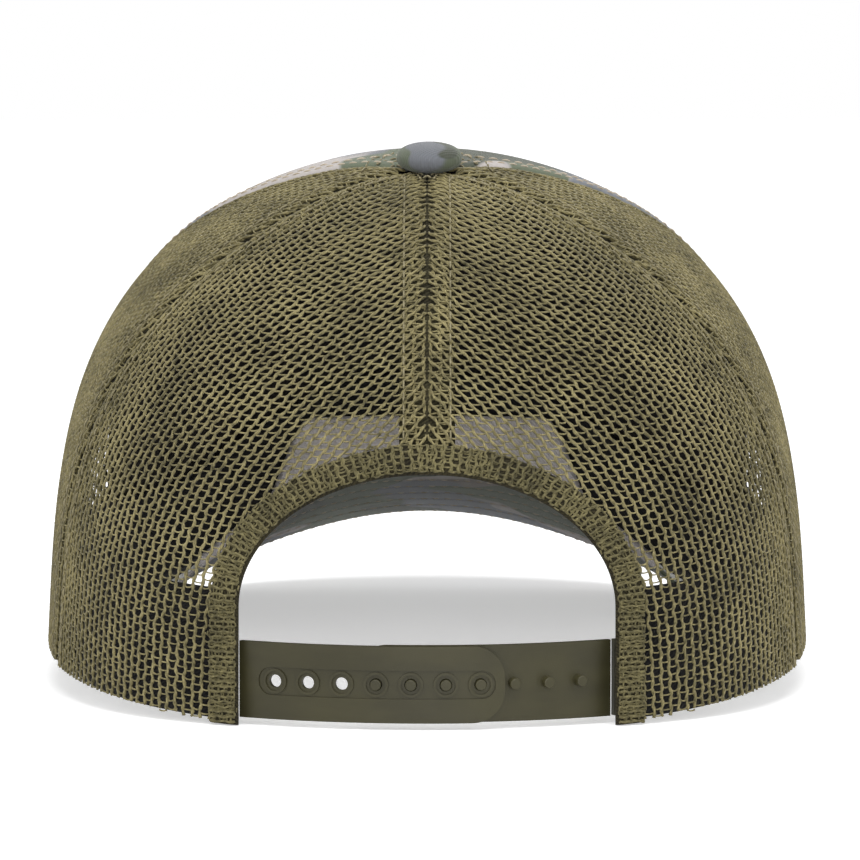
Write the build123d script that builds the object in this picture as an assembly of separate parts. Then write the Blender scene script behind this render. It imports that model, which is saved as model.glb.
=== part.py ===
from build123d import *
import functools
import math
import os

# Six-panel trucker cap: two cloth front panels, four mesh panels and a snap strap.
# Frame: +Z up, +Y towards the visor, +X to the wearer's right. The origin is the centre of the
# head opening on the plane that the cap rests on. All sizes are in millimetres.

# Crown: plan of the rim, and the point under the button. The two series give the exponents of
# its meridians. The button pulls a dip into the top, and the lined front bulges a little.
half_width = 87.5
front_reach = 98.5
rear_reach = 101.0
front_squareness = 2.13
rear_squareness = 2.63
apex_y = -16.6
apex_z = 119.0
side_taper = 0.067
crown_hole = 5.0
tape_stop = 19.0
plan_scale = 90.0
highest_lift = 0.97
top_series = (1.77, -0.75, 0.25)
side_series = (3.30, -0.59, -0.17)
apex_dip = 2.2
dip_reach = 0.13
front_bulge = 1.1
bulge_scale = 3 ** 6 / 2 ** 4

# Rim: flat at the rear, rising towards the visor's corners
rim_flat_y = -97.0
rim_ease = 2.2
corner_y = 70.0
corner_z = 9.0
soft_blend = 3.5

# Seams, as turns from the rear centre in degrees
rear_seam = 63.0
front_seam_low = 124.0
front_seam_high = 102.0
seam_gap = 0.3

# Cloth thicknesses, laid inwards from the crown's outer surface
mesh_thick = 1.0
front_thick = 0.9
buckram_thick = 1.0
tape_thick = 0.5
tape_width = 11.0
band_depth = 3.4
band_thick = 1.6
band_height = 30.0
band_front_drop = 6.0
band_end_turn = 30.3
pad_thick = 2.2
pad_half_turn = 36.0
pad_height = 14.0
pad_low = 1.0
pad_fall = 0.5
lay = 0.25

# Rear opening
arch_half_width = 41.6
arch_straight = 26.0
arch_top = 55.0
hem_width = 6.2
hem_proud = 0.5
hem_thick = 2.1

# Visor
visor_top_z = 35.5
visor_pitch = 14.6
visor_front_y = 163.0
visor_half_width = 73.0
visor_wide_y = 105.0
visor_side_reach = 104.0
visor_side_turn = 105.0
visor_root_turn = 41.8
arch_swing = 2.3
arch_depth_root = 43.0
arch_depth_front = 21.2
arch_power_root = 1.35
arch_power_front = 1.0
visor_floor = 0.4
board_thick = 1.8
cover_thick = 0.8

# Snap straps: circular arcs in plan about (0, strap_centre_y)
strap_radius = 85.7
strap_centre_y = -16.3
strap_low = 1.5
strap_high = 18.4
strap_thick = 1.4
strap_space = 0.4
strap_turn = 28.7
strap_tip_round = 7.2
tab_round = 2.0
tab_turn = 35.0
bend_gap_turn = 0.7
tip_margin = 3.6
hole_pitch_turn = 5.13
hole_count = 7
first_hole_turn = -22.9
shared_holes = 4
hole_radius = 1.4
ring_radius = 2.75
ring_wall = 0.6
ring_proud = 0.05
peg_root = 0.3
peg_radius = 1.25
peg_height = 2.5
channel_half_height = 3.1
channel_depth = 0.3
channel_margin = 2.6

# Button
button_radius = 7.4
button_low = 117.0
button_height = 5.6
button_tilt = 8.0
cloth_thick = 0.6
shell_thick = 0.5
washer_radius = 6.5
washer_thick = 0.8
washer_drop = 4.8
shank_radius = 1.5

grid_across = 21
grid_up = 19
band_grid = 61


def series(turn, terms):
    """A value that changes smoothly round the crown."""
    return terms[0] + terms[1] * math.cos(turn) + terms[2] * math.cos(2 * turn)


def rim_plan(turn):
    """The rim's plan: a superellipse in polar form, squarer at the rear than at the front."""
    rear = math.cos(turn) > 0
    reach = rear_reach if rear else front_reach
    power = rear_squareness if rear else front_squareness
    along = abs(math.cos(turn) / reach) ** power
    across = abs(math.sin(turn) / half_width) ** power
    radius = (along + across) ** (-1 / power)
    return radius * math.sin(turn), -radius * math.cos(turn)


def soft_max(first, second):
    """The larger of two heights, rounded where they are close."""
    larger, smaller = max(first, second), min(first, second)
    return larger + soft_blend * math.log(1 + math.exp((smaller - larger) / soft_blend))


def visor_z(x, y):
    """The visor's middle surface: pitched down to the front, with a cosine arch that fades forward."""
    ahead = max(y, corner_y)
    forward = min((ahead - corner_y) / (visor_front_y - corner_y), 1.0)
    depth = arch_depth_root + (arch_depth_front - arch_depth_root) * forward
    power = arch_power_root + (arch_power_front - arch_power_root) * forward
    drop = (ahead - front_reach) * math.tan(math.radians(visor_pitch))
    swing = min(arch_swing * (abs(x) / visor_half_width) ** power, math.pi)
    return visor_top_z - drop - depth * (1 - math.cos(swing)) / (1 - math.cos(arch_swing))


def rim_z(turn):
    """The rim's height: the side line, or the visor's arch where that is higher."""
    x, y = rim_plan(turn)
    forward = min(max((y - rim_flat_y) / (corner_y - rim_flat_y), 0.0), 1.0)
    side = corner_z * (1 - (1 - forward) ** rim_ease)
    return soft_max(side, visor_z(x, y)) if y > 0 else side


def crown_point(turn, lift):
    """The crown's outer surface. lift is 0 at the rim and 1 at the apex."""
    rim_x, rim_y = rim_plan(turn)
    low = rim_z(turn)
    top_power = series(turn, top_series)
    side_power = series(turn, side_series)
    angle = lift * math.pi / 2
    spread = max(math.cos(angle), 0.0) ** (2 / top_power)
    rise = math.sin(angle) ** (2 / side_power)
    spread -= side_taper * rise * (1 - rise) * spread
    high = low + (apex_z - low) * rise
    high -= apex_dip * math.exp(-(spread / dip_reach) ** 2)
    high += front_bulge * max(-math.cos(turn), 0.0) ** 4 * bulge_scale * spread ** 2 * (1 - spread) ** 4
    return Vector(rim_x * spread, apex_y + (rim_y - apex_y) * spread, high)


@functools.cache
def meridian(turn, count=160):
    """Lifts up one meridian, with the length from the rim to each."""
    lifts = [(i / count) ** 1.6 for i in range(count + 1)]
    points = [crown_point(turn, lift) for lift in lifts]
    lengths = [0.0]
    for low, high in zip(points, points[1:]):
        lengths.append(lengths[-1] + (high - low).length)
    return lifts, lengths


def lift_at(turn, length):
    """The lift at a length up the meridian from the rim."""
    lifts, lengths = meridian(turn)
    for i in range(1, len(lengths)):
        if lengths[i] >= length:
            share = (length - lengths[i - 1]) / (lengths[i] - lengths[i - 1])
            return lifts[i - 1] + share * (lifts[i] - lifts[i - 1])
    return 1.0


@functools.cache
def lift_near_apex(turn, radius):
    """The lift at which the crown is a given distance from the apex in plan."""
    low, high = 0.5, 1.0
    apex = Vector(0, apex_y, 0)
    for _ in range(30):
        middle = (low + high) / 2
        point = crown_point(turn, middle)
        if (Vector(point.X, point.Y, 0) - apex).length > radius:
            low = middle
        else:
            high = middle
    return low


def crown_at(turn, lift, depth):
    """A point at a depth below the crown's outer surface, along its normal."""
    step = 0.002
    near = min(max(lift, step), 1 - step)
    around = crown_point(turn + step, near) - crown_point(turn - step, near)
    upward = crown_point(turn, near + step / 2) - crown_point(turn, near - step / 2)
    return crown_point(turn, lift) - around.cross(upward).normalized() * depth


def skin(outer, inner):
    """A closed solid between two grids of points that have the same layout."""
    faces = [Face.make_surface_from_array_of_points(rows, tol=0.02, max_deg=5) for rows in (outer, inner)]
    walls = []
    for edge in faces[0].edges():
        middle = edge.position_at(0.5)
        other = min(faces[1].edges(), key=lambda e: (e.position_at(0.5) - middle).length)
        walls.append(Face.make_surface_from_curves(edge, other))
    return Solid(Shell([*faces, *walls]))


def narrowing(turn, lift):
    """How much shorter a turn is at a lift than at the rim."""
    rim_x, rim_y = rim_plan(turn)
    point = crown_point(turn, lift)
    return Vector(point.X, point.Y - apex_y).length / Vector(rim_x, rim_y - apex_y).length


def seam_turn(name, lift):
    """The turn of a seam. The front side seam leans back as it rises."""
    if name == "front_side":
        return math.radians(front_seam_low + (front_seam_high - front_seam_low) * lift)
    return {"rear_centre": 0.0, "rear_side": math.radians(rear_seam), "front_centre": math.pi}[name]


def beside(name, offset):
    """The turn that runs at a distance beside a seam, as a function of the lift."""
    def turn_at(lift):
        turn = seam_turn(name, lift)
        return turn + offset / (plan_scale * narrowing(turn, min(lift, highest_lift)))
    return turn_at


def layer(start, end, low_of, high_of, top, bottom, across=grid_across, up=grid_up):
    """A cloth layer between two edges, from a low to a high line, from one depth to another."""
    grids = []
    for depth in (top, bottom):
        grid = []
        for i in range(across):
            share = i / (across - 1)
            row = []
            for j in range(up):
                lift = j / (up - 1)
                for _ in range(4):
                    turn = start(lift) + (end(lift) - start(lift)) * share
                    lift = low_of(turn) + (high_of(turn) - low_of(turn)) * j / (up - 1)
                row.append(crown_at(turn, lift, depth))
            grid.append(row)
        grids.append(grid)
    return skin(*grids)


def rim_line(turn):
    return 0.0


def button_line(turn):
    return lift_near_apex(round(turn, 4), crown_hole)


def tape_line(turn):
    return lift_near_apex(round(turn, 4), tape_stop)


def at_length(length_of):
    """A line that runs at a length above the rim."""
    return lambda turn: lift_at(round(turn, 4), length_of(turn))


def fixed(turn):
    return lambda lift: turn


def mirrored(solid):
    return mirror(solid, about=Plane.YZ)


def panel(start_seam, end_seam, top, bottom):
    """A panel between two seams, from the rim to the button."""
    start = beside(start_seam, seam_gap / 2)
    end = beside(end_seam, -seam_gap / 2)
    return layer(start, end, rim_line, button_line, top, bottom)


def seam_tape(name, top):
    start = beside(name, -tape_width / 2)
    end = beside(name, tape_width / 2)
    low = at_length(lambda turn: seam_gap)
    return layer(start, end, low, tape_line, top, top + tape_thick, across=5)


def arch_block(grow):
    """The rear opening as a block through the cap's back, with its outline grown outwards."""
    round_height = arch_top - arch_straight + grow
    width = arch_half_width + grow
    head = Pos(0, arch_straight) * Ellipse(width, round_height)
    legs = Pos(0, arch_straight / 2 - arch_straight) * Rectangle(2 * width, 3 * arch_straight)
    return extrude(Plane.XZ * (head + legs), amount=2 * rear_reach)


def only_solid(shape):
    """The largest solid of a cut."""
    return max(shape.solids(), key=lambda solid: solid.volume)


def arch_hem():
    """The folded hem: a thick band of the crown's back, left between two arches."""
    reach = math.radians(38)
    high = at_length(lambda turn: arch_top + 2 * hem_width)
    back = layer(fixed(-reach), fixed(reach), rim_line, high, -hem_proud, hem_thick - hem_proud, across=25)
    return only_solid((back & arch_block(hem_width)) - arch_block(0))


def band_height_at(turn):
    """The sweatband is tallest at the rear."""
    return band_height - band_front_drop * (1 - math.cos(turn)) / 2


def sweatband():
    start, end = math.radians(band_end_turn), math.radians(360 - band_end_turn)
    high = at_length(band_height_at)
    return layer(fixed(start), fixed(end), rim_line, high, band_depth, band_depth + band_thick, across=band_grid, up=9)


def pad_height_at(turn):
    """The pad is level across the forehead and falls away towards its ends."""
    share = abs(turn - math.pi) / math.radians(pad_half_turn)
    return pad_height * (1 - pad_fall * share ** 4)


def forehead_pad():
    reach = math.radians(pad_half_turn)
    top = band_depth + band_thick + lay
    low = at_length(lambda turn: pad_low)
    high = at_length(pad_height_at)
    return layer(fixed(math.pi - reach), fixed(math.pi + reach), low, high, top, top + pad_thick, across=25, up=7)


def visor_plan(across, forward):
    """Plan position on the visor. across is -1 to 1, and forward is 0 at the crown and 1 at the edge."""
    root_x, root_y = rim_plan(math.pi - math.radians(visor_root_turn) * across)
    grow = 1 + (seam_gap + lay) / front_reach
    swing = math.radians(visor_side_turn) * across
    reach = visor_front_y - visor_wide_y if math.cos(swing) > 0 else visor_side_reach
    edge_x = visor_half_width * math.sin(swing)
    edge_y = visor_wide_y + reach * math.cos(swing)
    return root_x * grow + (edge_x - root_x * grow) * forward, root_y * grow + (edge_y - root_y * grow) * forward


def visor_at(x, y, offset):
    """A point above the visor's middle surface, along its normal."""
    step = 0.05
    height = [soft_max(visor_z(x + i, y + j), visor_floor) for i, j in ((0, 0), (step, 0), (0, step))]
    normal = Vector((height[0] - height[1]) / step, (height[0] - height[2]) / step, 1).normalized()
    return Vector(x, y, height[0]) + normal * offset


def visor_layer(low, high, inset):
    """One layer of the visor between two offsets, set back from the visor's outline."""
    grids = []
    for offset in (low, high):
        grid = []
        for i in range(31):
            across = (i / 15 - 1) * (1 - inset / visor_half_width)
            reach = 1 - inset / (visor_front_y - front_reach)
            grid.append([visor_at(*visor_plan(across, reach * j / 10), offset) for j in range(11)])
        grids.append(grid)
    return skin(*grids)


def button_place():
    return Pos(0, apex_y, button_low) * Rot(X=button_tilt)


def button_cup(shrink, thick):
    """A thin dome, open underneath: a shell of a ball that stands on its cut."""
    ball = (button_radius ** 2 + button_height ** 2) / (2 * button_height)
    centre = Pos(0, 0, button_height - ball)
    keep = Pos(0, 0, button_height) * Cylinder(2 * button_radius, 2 * button_height)
    return (centre * Sphere(ball - shrink) - centre * Sphere(ball - shrink - thick)) & keep


def button_washer():
    """The disc under the crown, with the shank that passes up into the button."""
    disc = Cylinder(washer_radius, washer_thick)
    shank = Pos(0, 0, washer_drop / 2) * Cylinder(shank_radius, washer_drop + 2 * washer_thick)
    return Pos(0, 0, -washer_drop) * (disc + shank)


def strap_point(turn, radius):
    """A point in plan on a strap's arc. Turns are in degrees from the rear, towards +X."""
    angle = math.radians(turn)
    return Vector(radius * math.sin(angle), strap_centre_y - radius * math.cos(angle))


def arc_wall(inner, outer, low, high, start, end):
    """An upright wall that follows the straps' arc."""
    middle = (start + end) / 2
    edges = []
    for first, radius, last in ((start, outer, end), (end, inner, start)):
        points = [strap_point(turn, radius) for turn in (first, middle, last)]
        edges.append(ThreePointArc(*points))
    corners = [edge.position_at(place) for edge in edges for place in (0, 1)]
    walls = [Line(corners[1], corners[2]), Line(corners[3], corners[0])]
    return Pos(0, 0, low) * extrude(make_face([edges[0], walls[0], edges[1], walls[1]]), amount=high - low)


def round_end(wall, turn, radius):
    """Rounds the two corners at one end of an arc wall."""
    angle = math.radians(turn)
    outward = Vector(math.sin(angle), -math.cos(angle), 0)
    corners = []
    for edge in wall.edges().filter_by(GeomType.LINE):
        middle = edge.position_at(0.5)
        reached = math.degrees(math.atan2(middle.X, strap_centre_y - middle.Y))
        along = abs(edge.tangent_at(0.5).dot(outward))
        if abs(reached - turn) < 0.05 and along > 0.99:
            corners.append(edge)
    return fillet(corners, radius)


def radial_rod(turn, radius, start, length):
    """A rod that points outwards through the strap."""
    angle = math.radians(turn)
    outward = Vector(math.sin(angle), -math.cos(angle), 0)
    foot = strap_point(turn, start)
    plane = Plane(origin=(foot.X, foot.Y, (strap_low + strap_high) / 2), z_dir=outward)
    return Solid.make_cylinder(radius, length, plane)


def snap_strap_left():
    """The outer strap, with a shallow channel and a rimmed row of snap holes."""
    outer, inner = strap_radius, strap_radius - strap_thick
    last = first_hole_turn + hole_pitch_turn * (hole_count - 1)
    tip = last + tip_margin
    strap = round_end(arc_wall(inner, outer, strap_low, strap_high, -strap_turn, tip), tip, strap_tip_round)
    middle = (strap_low + strap_high) / 2
    ends = (first_hole_turn - channel_margin, last + channel_margin - 0.4)
    channel = arc_wall(outer - channel_depth, outer + 1, middle - channel_half_height,
                       middle + channel_half_height, *ends)
    for end in ends:
        channel = round_end(channel, end, 0.97 * channel_half_height)
    strap -= channel
    for i in range(hole_count):
        turn = first_hole_turn + hole_pitch_turn * i
        strap += radial_rod(turn, ring_radius, outer - 2 * channel_depth, 2 * channel_depth + ring_proud)
        strap -= radial_rod(turn, ring_radius - ring_wall, outer - channel_depth, 1)
        strap -= radial_rod(turn, hole_radius, inner - 1, strap_thick + 2)
    return strap


def snap_strap_right():
    """The inner strap, with its row of pegs."""
    outer = strap_radius - strap_thick - strap_space
    first = first_hole_turn + hole_pitch_turn * (hole_count - shared_holes)
    tip = first - tip_margin
    strap = round_end(arc_wall(outer - strap_thick, outer, strap_low, strap_high, tip, strap_turn),
                      tip, strap_tip_round)
    for i in range(hole_count):
        peg = radial_rod(first + hole_pitch_turn * i, peg_radius, outer - peg_root, peg_height + peg_root)
        tip_edge = peg.faces().sort_by_distance(Vector(0, 2 * strap_radius, 0))[-1].edges()
        strap += peg.fillet(peg_root, tip_edge)
    return strap


def strap_tab(side, outer):
    """The sewn end of a strap, behind the hem."""
    start, end = strap_turn + bend_gap_turn, tab_turn
    if side < 0:
        start, end = -end, -start
    tab = arc_wall(outer - strap_thick, outer, strap_low, strap_high, start, end)
    return round_end(tab, tab_turn * side, tab_round)


def save(name, shape):
    export_step(shape, f"parts/{name}.step")
    print(name, round(shape.volume, 1))


os.makedirs("parts", exist_ok=True)

lining = front_thick + lay
tape_on_mesh = mesh_thick + lay
tape_on_buckram = lining + buckram_thick + lay
opening = arch_block(hem_width + seam_gap)

save("arch_hem", arch_hem())
rear_mesh = only_solid(panel("rear_centre", "rear_side", 0, mesh_thick) - opening)
side_mesh = panel("rear_side", "front_side", 0, mesh_thick)
front_panel = panel("front_side", "front_centre", 0, front_thick)
buckram = panel("front_side", "front_centre", lining, lining + buckram_thick)
rear_side_tape = seam_tape("rear_side", tape_on_mesh)
front_side_tape = seam_tape("front_side", tape_on_buckram)
pairs = {"rear_mesh": rear_mesh, "side_mesh": side_mesh, "front_panel": front_panel, "buckram": buckram,
         "rear_side_tape": rear_side_tape, "front_side_tape": front_side_tape}
for name, right in pairs.items():
    save(f"{name}_right", right)
    save(f"{name}_left", mirrored(right))
save("rear_centre_tape", only_solid(seam_tape("rear_centre", tape_on_mesh) - opening))
save("front_centre_tape", seam_tape("front_centre", tape_on_buckram))

save("sweatband", sweatband())
save("forehead_pad", forehead_pad())

half_board = board_thick / 2
save("visor_board", visor_layer(-half_board, half_board, 1.2))
save("visor_top_cover", visor_layer(half_board + 0.1, half_board + 0.1 + cover_thick, 0))
save("visor_under_cover", visor_layer(-half_board - 0.1 - cover_thick, -half_board - 0.1, 0))

save("button_cover", button_place() * button_cup(0, cloth_thick))
save("button_shell", button_place() * button_cup(cloth_thick + 0.05, shell_thick))
save("button_washer", button_place() * button_washer())

save("snap_strap_left", snap_strap_left())
save("snap_strap_right", snap_strap_right())
save("snap_strap_left_tab", strap_tab(-1, strap_radius))
save("snap_strap_right_tab", strap_tab(1, strap_radius - strap_thick - strap_space))
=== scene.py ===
import math
import bpy
import numpy as np
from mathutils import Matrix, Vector


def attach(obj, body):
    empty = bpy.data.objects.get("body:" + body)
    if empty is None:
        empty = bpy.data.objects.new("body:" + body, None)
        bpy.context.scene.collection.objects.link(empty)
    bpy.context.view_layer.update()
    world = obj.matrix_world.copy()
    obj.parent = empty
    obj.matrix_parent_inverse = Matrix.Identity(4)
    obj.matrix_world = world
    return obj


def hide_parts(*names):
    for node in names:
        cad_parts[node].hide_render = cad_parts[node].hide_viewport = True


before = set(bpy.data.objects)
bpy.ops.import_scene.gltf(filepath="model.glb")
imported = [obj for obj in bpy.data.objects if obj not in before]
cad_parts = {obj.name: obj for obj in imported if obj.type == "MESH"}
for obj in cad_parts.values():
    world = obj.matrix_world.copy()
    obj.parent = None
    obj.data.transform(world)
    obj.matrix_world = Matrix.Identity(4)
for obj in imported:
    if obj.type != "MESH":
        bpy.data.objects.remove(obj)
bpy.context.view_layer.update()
print("frame loaded")

mm = 0.001  # shapes are worked out in millimetres and put into their meshes in metres
scene = bpy.context.scene

crown = {
    "halfWidth": 87.5, "frontReach": 98.5, "rearReach": 101.0, "frontPower": 2.13, "rearPower": 2.63,
    "apexY": -16.6, "apexZ": 119.0, "sideTaper": 0.067, "planScale": 90.0,
    "buttonHole": 5.0, "tapeStop": 11.0, "stitchStop": 8.0,
    "rimFlatY": -97.0, "rimEase": 2.2, "cornerY": 70.0, "cornerZ": 9.0, "softBlend": 3.5,
    "topPower": (1.77, -0.75, 0.25), "sidePower": (3.30, -0.59, -0.17),
    "rearSeam": 63.0, "frontSeamLow": 124.0, "frontSeamHigh": 102.0,
    "dip": 2.2, "dipReach": 0.13, "bulge": 1.1, "bulgeScale": 3 ** 6 / 2 ** 4,
}
visor = {
    "topZ": 35.5, "pitch": 14.6, "frontY": 163.0, "halfWidth": 73.0, "wideY": 105.0, "sideReach": 104.0,
    "sideTurn": 105.0, "rootTurn": 41.8, "swing": 2.3, "rootDepth": 43.0, "frontDepth": 21.2,
    "rootPower": 1.35, "frontPower": 1.0, "floor": 0.4, "rootGrow": 1.0056,
    "boardHalf": 0.95, "edgeRound": 2.4, "skin": 0.85,
    "flat": (146, 92), "rowPitch": 10.5, "rows": 5, "edgeRow": 2.6, "quilting": 0.22,
}


def unit(vectors):
    return vectors / np.maximum(np.linalg.norm(vectors, axis=-1, keepdims=True), 1e-12)


def rimPlan(turn):
    # superellipse: radius = ((|cos| / reach)^p + (|sin| / halfWidth)^p)^(-1/p), turn 0 at the rear centre
    rear = np.cos(turn) > 0
    reach = np.where(rear, crown["rearReach"], crown["frontReach"])
    power = np.where(rear, crown["rearPower"], crown["frontPower"])
    across = np.abs(np.sin(turn)) / crown["halfWidth"]
    radius = ((np.abs(np.cos(turn)) / reach) ** power + across ** power) ** (-1 / power)
    return radius * np.sin(turn), -radius * np.cos(turn)


def softMax(first, second):
    # the larger of two heights, rounded where they are close: blend * ln(e^(a/blend) + e^(b/blend))
    return crown["softBlend"] * np.logaddexp(first / crown["softBlend"], second / crown["softBlend"])


def visorHeight(x, y):
    # middle surface: falls forwards at the pitch, and arches across as a cosine whose depth fades forwards
    ahead = np.maximum(y, crown["cornerY"])
    forward = np.minimum((ahead - crown["cornerY"]) / (visor["frontY"] - crown["cornerY"]), 1.0)
    depth = visor["rootDepth"] + (visor["frontDepth"] - visor["rootDepth"]) * forward
    power = visor["rootPower"] + (visor["frontPower"] - visor["rootPower"]) * forward
    drop = (ahead - crown["frontReach"]) * math.tan(math.radians(visor["pitch"]))
    swing = np.minimum(visor["swing"] * (np.abs(x) / visor["halfWidth"]) ** power, math.pi)
    return visor["topZ"] - drop - depth * (1 - np.cos(swing)) / (1 - math.cos(visor["swing"]))


def rimHeight(turn):
    # the side line rises as 1 - (1 - forward)^ease, and the visor's arch takes over where it is higher
    x, y = rimPlan(turn)
    forward = np.clip((y - crown["rimFlatY"]) / (crown["cornerY"] - crown["rimFlatY"]), 0, 1)
    side = crown["cornerZ"] * (1 - (1 - forward) ** crown["rimEase"])
    return np.where(y > 0, softMax(side, visorHeight(x, y)), side)


def around(turn, terms):
    return terms[0] + terms[1] * np.cos(turn) + terms[2] * np.cos(2 * turn)


def spreadAndRise(turn, lift):
    # meridian: spread^n + rise^m = 1, drawn in a little at mid height
    angle = np.clip(lift, 0, 1) * math.pi / 2
    spread = np.maximum(np.cos(angle), 0) ** (2 / around(turn, crown["topPower"]))
    rise = np.sin(angle) ** (2 / around(turn, crown["sidePower"]))
    return spread * (1 - crown["sideTaper"] * rise * (1 - rise)), rise


def crownPoint(turn, lift):
    # lift 0 is the rim and 1 the apex: the rim's plan shrinks by spread and climbs by rise
    # the button pulls the top down by a Gaussian, and the lined front bulges as spread^2 (1 - spread)^4
    turn, lift = np.broadcast_arrays(turn, lift)
    rimX, rimY = rimPlan(turn)
    low = rimHeight(turn)
    spread, rise = spreadAndRise(turn, lift)
    y = crown["apexY"] + (rimY - crown["apexY"]) * spread
    high = low + (crown["apexZ"] - low) * rise - crown["dip"] * np.exp(-(spread / crown["dipReach"]) ** 2)
    front = np.maximum(-np.cos(turn), 0) ** 4 * crown["bulgeScale"]
    high = high + crown["bulge"] * front * spread ** 2 * (1 - spread) ** 4
    return np.stack([rimX * spread, y, high], axis=-1)


def crownNormal(turn, lift):
    step = 0.004
    near = np.clip(lift, step, 1 - step)
    sideways = crownPoint(turn + step, near) - crownPoint(turn - step, near)
    upward = crownPoint(turn, near + step / 2) - crownPoint(turn, near - step / 2)
    return unit(np.cross(sideways, upward))


def crownAt(turn, lift, depth):
    # a point at a depth below the crown's outer surface, along its normal
    return crownPoint(turn, lift) - crownNormal(turn, lift) * np.asarray(depth)[..., None]


# lengths up every meridian, tabled so that cloth can be laid out flat: across, and up from the rim
tableTurns = np.linspace(0, 2 * math.pi, 361)
liftCount, lengthCount, liftEase = 200, 400, 1.6
tableLifts = (np.arange(liftCount + 1) / liftCount) ** liftEase
meridians = crownPoint(tableTurns[:, None], tableLifts[None, :])
steps = np.linalg.norm(np.diff(meridians, axis=1), axis=-1)
lengthByLift = np.concatenate([np.zeros((len(tableTurns), 1)), np.cumsum(steps, axis=1)], axis=1)
longest = float(lengthByLift.max())
evenLengths = np.linspace(0, longest, lengthCount + 1)
liftByLength = np.stack([np.interp(evenLengths, row, tableLifts) for row in lengthByLift])


def sample(table, turn, column):
    # bilinear reading of a table whose rows are turns
    row = np.mod(turn, 2 * math.pi) / (2 * math.pi) * (len(tableTurns) - 1)
    column = np.clip(column, 0, table.shape[1] - 1.0001)
    r, c = np.minimum(row.astype(int), len(tableTurns) - 2), column.astype(int)
    fr, fc = row - r, column - c
    low = table[r, c] * (1 - fc) + table[r, c + 1] * fc
    high = table[r + 1, c] * (1 - fc) + table[r + 1, c + 1] * fc
    return low * (1 - fr) + high * fr


def liftAt(turn, length):
    turn, length = np.broadcast_arrays(turn, length)
    return sample(liftByLength, turn, length / longest * lengthCount)


def lengthAt(turn, lift):
    turn, lift = np.broadcast_arrays(turn, lift)
    return sample(lengthByLift, turn, np.clip(lift, 0, 1) ** (1 / liftEase) * liftCount)


def liftNearApex(turn, radius):
    # where the plan distance from the apex is radius
    rimX, rimY = rimPlan(turn)
    share = radius / np.hypot(rimX, rimY - crown["apexY"])
    return np.arccos(np.clip(share, 0, 1) ** (around(turn, crown["topPower"]) / 2)) * 2 / math.pi


def seamTurn(name, lift):
    # the front side seam leans back as it rises
    lift = np.asarray(lift, float)
    if name == "frontSide":
        return np.radians(crown["frontSeamLow"] + (crown["frontSeamHigh"] - crown["frontSeamLow"]) * lift)
    fixed = {"rearCentre": 0.0, "rearSide": math.radians(crown["rearSeam"]), "frontCentre": math.pi}
    return fixed[name] + 0 * lift


def seamDistance(name, turn, lift):
    return (turn - seamTurn(name, lift)) * crown["planScale"] * spreadAndRise(turn, lift)[0]


def beside(name, offset):
    # the turn at a distance in mm beside a seam, as a function of lift
    def turnAt(lift):
        turn = seamTurn(name, lift)
        return turn + offset / (crown["planScale"] * spreadAndRise(turn, np.minimum(lift, 0.97))[0])
    return turnAt


def seamRelief(distance):
    # cloth dips into a seam and stands proud over its turned-in edges
    away = np.abs(distance)
    return 0.5 * np.exp(-(away / 1.0) ** 2) - 0.28 * np.exp(-((away - 2.9) / 1.5) ** 2)


def addPiece(name, points, quads, material, body="cap", slotName=None, replaced=(), uv=None, triangles=None):
    # one mesh object from arrays in mm, riding on a body
    mesh = bpy.data.meshes.new(name)
    triangles = np.zeros((0, 3), int) if triangles is None else triangles
    corners = np.concatenate([quads.ravel(), triangles.ravel()]).astype(np.int32)
    starts = np.concatenate([np.arange(len(quads)) * 4, len(quads) * 4 + np.arange(len(triangles)) * 3])
    mesh.vertices.add(len(points))
    mesh.vertices.foreach_set("co", (points * mm).astype(np.float32).ravel())
    mesh.loops.add(len(corners))
    mesh.loops.foreach_set("vertex_index", corners)
    mesh.polygons.add(len(starts))
    mesh.polygons.foreach_set("loop_start", starts.astype(np.int32))
    mesh.polygons.foreach_set("use_smooth", np.ones(len(starts), bool))
    if uv is not None:
        layer = mesh.uv_layers.new(name="cloth")
        layer.data.foreach_set("uv", uv[corners].astype(np.float32).ravel())
    mesh.update()
    mesh.validate()
    piece = bpy.data.objects.new(name, mesh)
    scene.collection.objects.link(piece)
    mesh.materials.append(material)
    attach(piece, body)
    if replaced:
        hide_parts(*replaced)
    return piece


def joined(parts):
    # several (points, quads, uv) as one
    counts = np.cumsum([0] + [len(p[0]) for p in parts])
    quads = np.concatenate([p[1] + n for p, n in zip(parts, counts)])
    return np.concatenate([p[0] for p in parts]), quads, np.concatenate([p[2] for p in parts])


def mirrored(part):
    # the same part across the cap's middle, with its faces turned back outwards
    points, quads, uv = part
    return points * [-1, 1, 1], quads[:, ::-1], uv


def ringTube(rings, uv, keep=None):
    # rings (tubes, stations, sides, 3) joined along each tube, with ends capped where a run stops
    tubes, stations, sides = rings.shape[:3]
    index = np.arange(tubes * stations * sides).reshape(tubes, stations, sides)
    keep = np.ones((tubes, stations), bool) if keep is None else keep
    first, last = index[:, :-1], index[:, 1:]
    runs = keep[:, :-1] & keep[:, 1:]
    walls = np.stack([first, np.roll(first, -1, axis=2), np.roll(last, -1, axis=2), last], axis=-1)[runs]
    quads = [walls.reshape(-1, 4)]
    edge = np.zeros((tubes, 1), bool)
    starts = runs & ~np.concatenate([edge, runs[:, :-1]], axis=1)
    ends = runs & ~np.concatenate([runs[:, 1:], edge], axis=1)
    for m in range(1, sides - 2, 2):
        quads.append(first[starts][:, [0, m + 2, m + 1, m]])
        quads.append(last[ends][:, [0, m, m + 1, m + 2]])
    quads = np.concatenate(quads)
    used, compact = np.unique(quads, return_inverse=True)
    return rings.reshape(-1, 3)[used], compact.reshape(-1, 4), uv.reshape(-1, 2)[used]


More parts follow.
